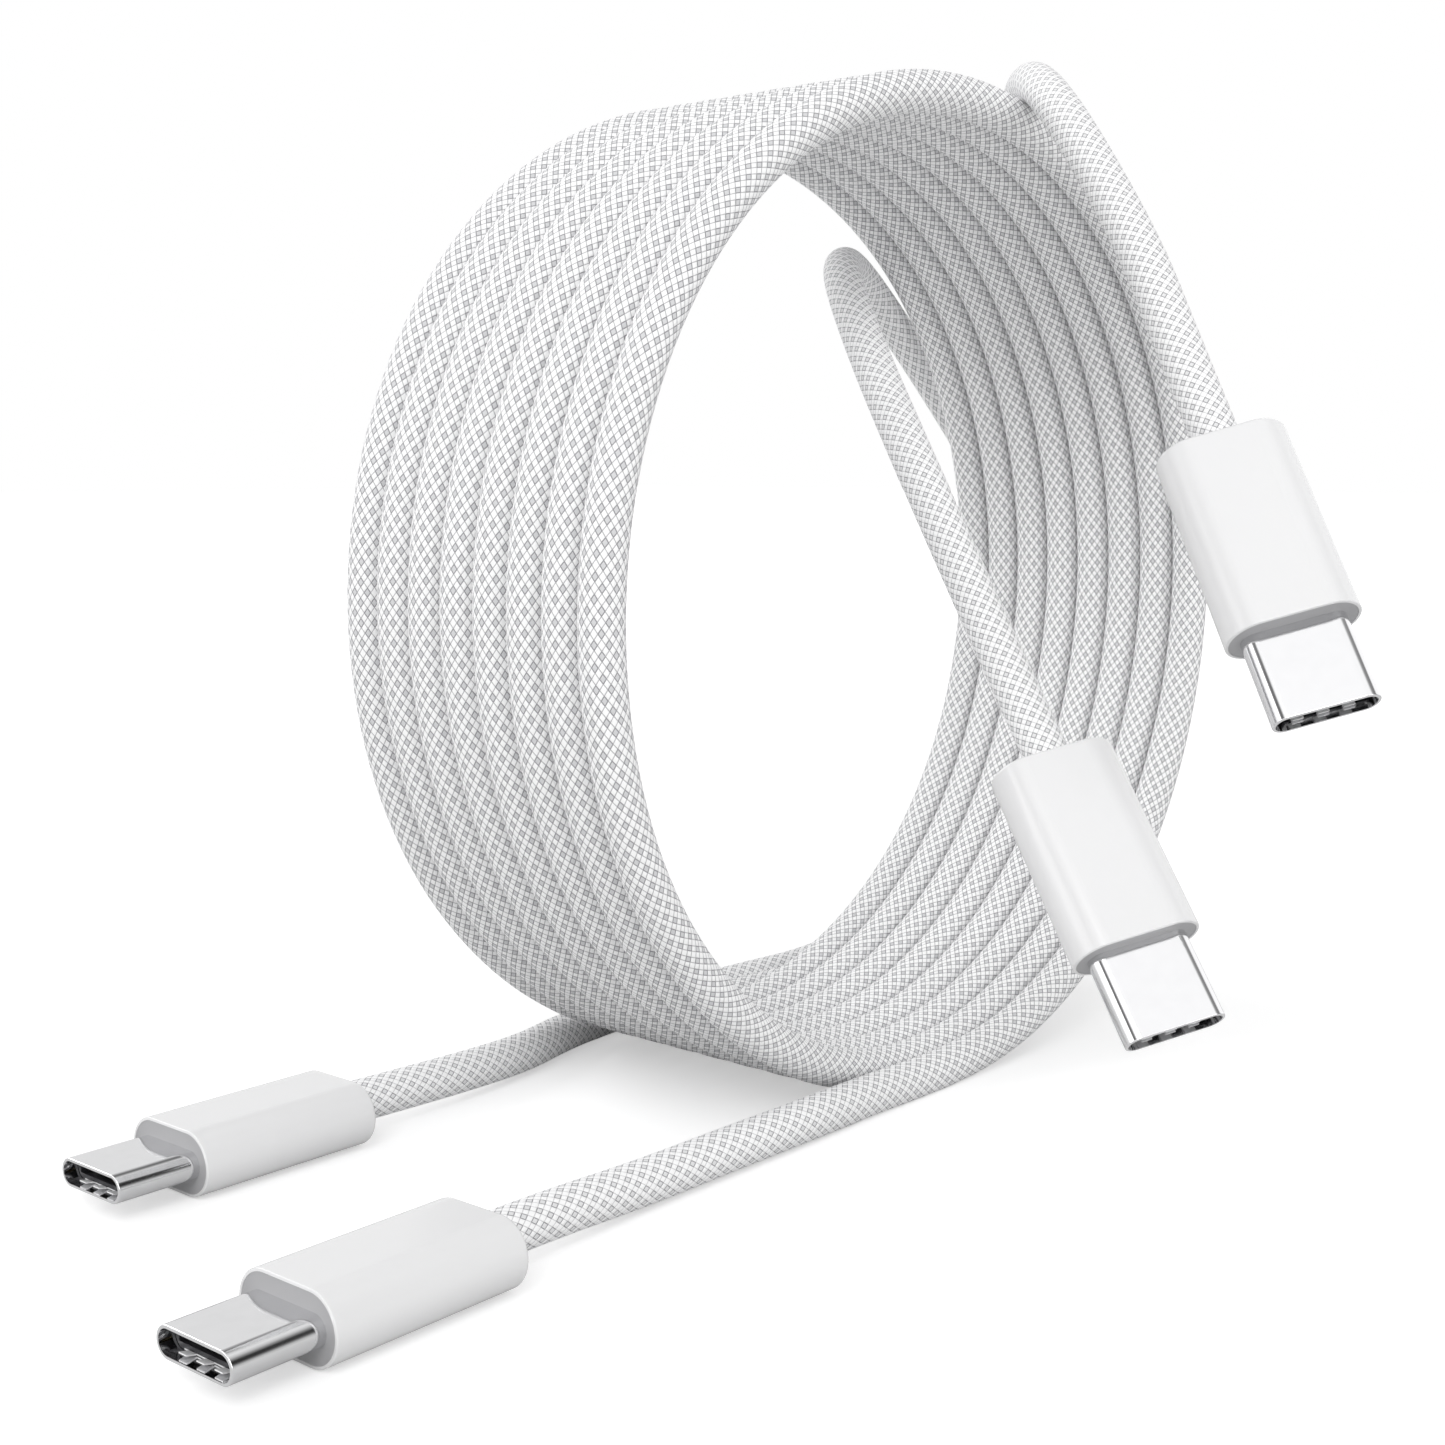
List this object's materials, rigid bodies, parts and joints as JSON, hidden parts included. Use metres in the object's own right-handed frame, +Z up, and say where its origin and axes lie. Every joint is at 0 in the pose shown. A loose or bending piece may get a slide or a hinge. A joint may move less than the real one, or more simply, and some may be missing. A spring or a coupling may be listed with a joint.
{
  "type": "charging cable",
  "caption": "Braided white charging cables wound as a standing ring of turns, with slim moulded plugs carrying oval metal shells, lying and hanging around it.",
  "frame": {"origin": "on the floor under the middle of the ring of turns, at the flat foot of the middle strand", "axes": "+Z up; +Y along the axis of the ring, away from the hanging plugs; +X to the right when looking along +Y, so the floor plugs point towards -X"},
  "size_m": [0.1468, 0.0874, 0.0982],
  "materials": {
    "white_housing": "satin",
    "grey_plate": "matte",
    "steel_shell": "polished",
    "black_insulator": "matte",
    "gold_contacts": "polished",
    "spring_steel": "brushed",
    "green_card": "gloss",
    "black_chip": "matte",
    "natural_mould": "matte",
    "crimp_brass": "satin",
    "wire_insulation": "satin",
    "braided_cord": "woven"
  },
  "bodies": {
    "cables": {"long_floor_housing": "white_housing", "long_floor_front_plate": "grey_plate", "long_floor_shell": "steel_shell", "long_floor_insulator": "black_insulator", "long_floor_ground_springs": "spring_steel", "long_floor_card": "green_card", "long_floor_inner_mould": "natural_mould", "long_floor_crimp_sleeve": "crimp_brass", "long_floor_wire_ends": "wire_insulation", "long_floor_marker_chip": "black_chip", "long_hanging_housing": "white_housing", "long_hanging_front_plate": "grey_plate", "long_hanging_shell": "steel_shell", "long_hanging_insulator": "black_insulator", "long_hanging_ground_springs": "spring_steel", "long_hanging_card": "green_card", "long_hanging_inner_mould": "natural_mould", "long_hanging_crimp_sleeve": "crimp_brass", "long_hanging_wire_ends": "wire_insulation", "short_floor_housing": "white_housing", "short_floor_front_plate": "grey_plate", "short_floor_shell": "steel_shell", "short_floor_insulator": "black_insulator", "short_floor_ground_springs": "spring_steel", "short_floor_card": "green_card", "short_floor_inner_mould": "natural_mould", "short_floor_crimp_sleeve": "crimp_brass", "short_floor_wire_ends": "wire_insulation", "short_floor_marker_chip": "black_chip", "short_hanging_housing": "white_housing", "short_hanging_front_plate": "grey_plate", "short_hanging_shell": "steel_shell", "short_hanging_insulator": "black_insulator", "short_hanging_ground_springs": "spring_steel", "short_hanging_card": "green_card", "short_hanging_inner_mould": "natural_mould", "short_hanging_crimp_sleeve": "crimp_brass", "short_hanging_wire_ends": "wire_insulation", "long_cable_floor_lead": "braided_cord", "long_cable_coil": "braided_cord", "long_cable_hanging_lead": "braided_cord", "short_cable": "braided_cord"},
    "long_floor_left_latch_body": {"long_floor_left_latch": "spring_steel"},
    "long_floor_right_latch_body": {"long_floor_right_latch": "spring_steel"},
    "long_floor_upper_contacts_body": {"long_floor_upper_contacts": "gold_contacts"},
    "long_floor_lower_contacts_body": {"long_floor_lower_contacts": "gold_contacts"},
    "long_hanging_left_latch_body": {"long_hanging_left_latch": "spring_steel"},
    "long_hanging_right_latch_body": {"long_hanging_right_latch": "spring_steel"},
    "long_hanging_upper_contacts_body": {"long_hanging_upper_contacts": "gold_contacts"},
    "long_hanging_lower_contacts_body": {"long_hanging_lower_contacts": "gold_contacts"},
    "short_floor_left_latch_body": {"short_floor_left_latch": "spring_steel"},
    "short_floor_right_latch_body": {"short_floor_right_latch": "spring_steel"},
    "short_floor_upper_contacts_body": {"short_floor_upper_contacts": "gold_contacts"},
    "short_floor_lower_contacts_body": {"short_floor_lower_contacts": "gold_contacts"},
    "short_hanging_left_latch_body": {"short_hanging_left_latch": "spring_steel"},
    "short_hanging_right_latch_body": {"short_hanging_right_latch": "spring_steel"},
    "short_hanging_upper_contacts_body": {"short_hanging_upper_contacts": "gold_contacts"},
    "short_hanging_lower_contacts_body": {"short_hanging_lower_contacts": "gold_contacts"}
  },
  "joints": [
    {"name": "long_floor_left_latch_flex", "type": "hinge", "parent": "cables", "child": "long_floor_left_latch_body", "pos_m": [-0.07435, -0.0163, 0.0028], "axis": [0, 0, -1], "range_deg": [0, 1.2]},
    {"name": "long_floor_right_latch_flex", "type": "hinge", "parent": "cables", "child": "long_floor_right_latch_body", "pos_m": [-0.07415, -0.02269, 0.0028], "axis": [0, 0, 1], "range_deg": [0, 1.2]},
    {"name": "long_floor_upper_contacts_flex", "type": "hinge", "parent": "cables", "child": "long_floor_upper_contacts_body", "pos_m": [-0.07385, -0.01948, 0.00315], "axis": [-0.032, 0.9995, 0], "range_deg": [0, 0.63], "stiffness_Nm_per_rad": 0.000001},
    {"name": "long_floor_lower_contacts_flex", "type": "hinge", "parent": "cables", "child": "long_floor_lower_contacts_body", "pos_m": [-0.07385, -0.01948, 0.00245], "axis": [0.032, -0.9995, 0], "range_deg": [0, 0.72]},
    {"name": "long_hanging_left_latch_flex", "type": "hinge", "parent": "cables", "child": "long_hanging_left_latch_body", "pos_m": [-0.01378, -0.0529, 0.04996], "axis": [0.7362, 0.3954, -0.5493], "range_deg": [0, 1.2]},
    {"name": "long_hanging_right_latch_flex", "type": "hinge", "parent": "cables", "child": "long_hanging_right_latch_body", "pos_m": [-0.00989, -0.05766, 0.05174], "axis": [-0.7362, -0.3954, 0.5493], "range_deg": [0, 1.2]},
    {"name": "long_hanging_upper_contacts_flex", "type": "hinge", "parent": "cables", "child": "long_hanging_upper_contacts_body", "pos_m": [-0.01197, -0.0552, 0.05136], "axis": [-0.6071, 0.7444, -0.2779], "range_deg": [0, 0.63], "stiffness_Nm_per_rad": 0.000001},
    {"name": "long_hanging_lower_contacts_flex", "type": "hinge", "parent": "cables", "child": "long_hanging_lower_contacts_body", "pos_m": [-0.01146, -0.05492, 0.05098], "axis": [0.6071, -0.7444, 0.2779], "range_deg": [0, 0.72]},
    {"name": "short_floor_left_latch_flex", "type": "hinge", "parent": "cables", "child": "short_floor_left_latch_body", "pos_m": [-0.06184, 0.01709, 0.0028], "axis": [0, 0, -1], "range_deg": [0, 1.2]},
    {"name": "short_floor_right_latch_flex", "type": "hinge", "parent": "cables", "child": "short_floor_right_latch_body", "pos_m": [-0.06168, 0.0107, 0.0028], "axis": [0, 0, 1], "range_deg": [0, 1.2]},
    {"name": "short_floor_upper_contacts_flex", "type": "hinge", "parent": "cables", "child": "short_floor_upper_contacts_body", "pos_m": [-0.06136, 0.0139, 0.00315], "axis": [-0.024, 0.9997, 0], "range_deg": [0, 0.63], "stiffness_Nm_per_rad": 0.000001},
    {"name": "short_floor_lower_contacts_flex", "type": "hinge", "parent": "cables", "child": "short_floor_lower_contacts_body", "pos_m": [-0.06136, 0.0139, 0.00245], "axis": [0.024, -0.9997, 0], "range_deg": [0, 0.72]},
    {"name": "short_hanging_left_latch_flex", "type": "hinge", "parent": "cables", "child": "short_hanging_left_latch_body", "pos_m": [-0.02057, -0.04374, 0.02479], "axis": [0.6087, 0.4977, -0.6179], "range_deg": [0, 1.2]},
    {"name": "short_hanging_right_latch_flex", "type": "hinge", "parent": "cables", "child": "short_hanging_right_latch_body", "pos_m": [-0.01573, -0.04759, 0.02644], "axis": [-0.6087, -0.4977, 0.6179], "range_deg": [0, 1.2]},
    {"name": "short_hanging_upper_contacts_flex", "type": "hinge", "parent": "cables", "child": "short_hanging_upper_contacts_body", "pos_m": [-0.01826, -0.04559, 0.02613], "axis": [-0.755, 0.6027, -0.2582], "range_deg": [0, 0.63], "stiffness_Nm_per_rad": 0.000001},
    {"name": "short_hanging_lower_contacts_flex", "type": "hinge", "parent": "cables", "child": "short_hanging_lower_contacts_body", "pos_m": [-0.01784, -0.04524, 0.0257], "axis": [0.755, -0.6027, 0.2582], "range_deg": [0, 0.72]}
  ],
  "couplings": [
    {"joint": "long_floor_lower_contacts_flex", "follows": "long_floor_upper_contacts_flex", "ratio": 1},
    {"joint": "long_floor_left_latch_flex", "follows": "long_floor_upper_contacts_flex", "ratio": 1.6667},
    {"joint": "long_floor_right_latch_flex", "follows": "long_floor_upper_contacts_flex", "ratio": 1.6667},
    {"joint": "long_hanging_lower_contacts_flex", "follows": "long_hanging_upper_contacts_flex", "ratio": 1},
    {"joint": "long_hanging_left_latch_flex", "follows": "long_hanging_upper_contacts_flex", "ratio": 1.6667},
    {"joint": "long_hanging_right_latch_flex", "follows": "long_hanging_upper_contacts_flex", "ratio": 1.6667},
    {"joint": "short_floor_lower_contacts_flex", "follows": "short_floor_upper_contacts_flex", "ratio": 1},
    {"joint": "short_floor_left_latch_flex", "follows": "short_floor_upper_contacts_flex", "ratio": 1.6667},
    {"joint": "short_floor_right_latch_flex", "follows": "short_floor_upper_contacts_flex", "ratio": 1.6667},
    {"joint": "short_hanging_lower_contacts_flex", "follows": "short_hanging_upper_contacts_flex", "ratio": 1},
    {"joint": "short_hanging_left_latch_flex", "follows": "short_hanging_upper_contacts_flex", "ratio": 1.6667},
    {"joint": "short_hanging_right_latch_flex", "follows": "short_hanging_upper_contacts_flex", "ratio": 1.6667}
  ]
}
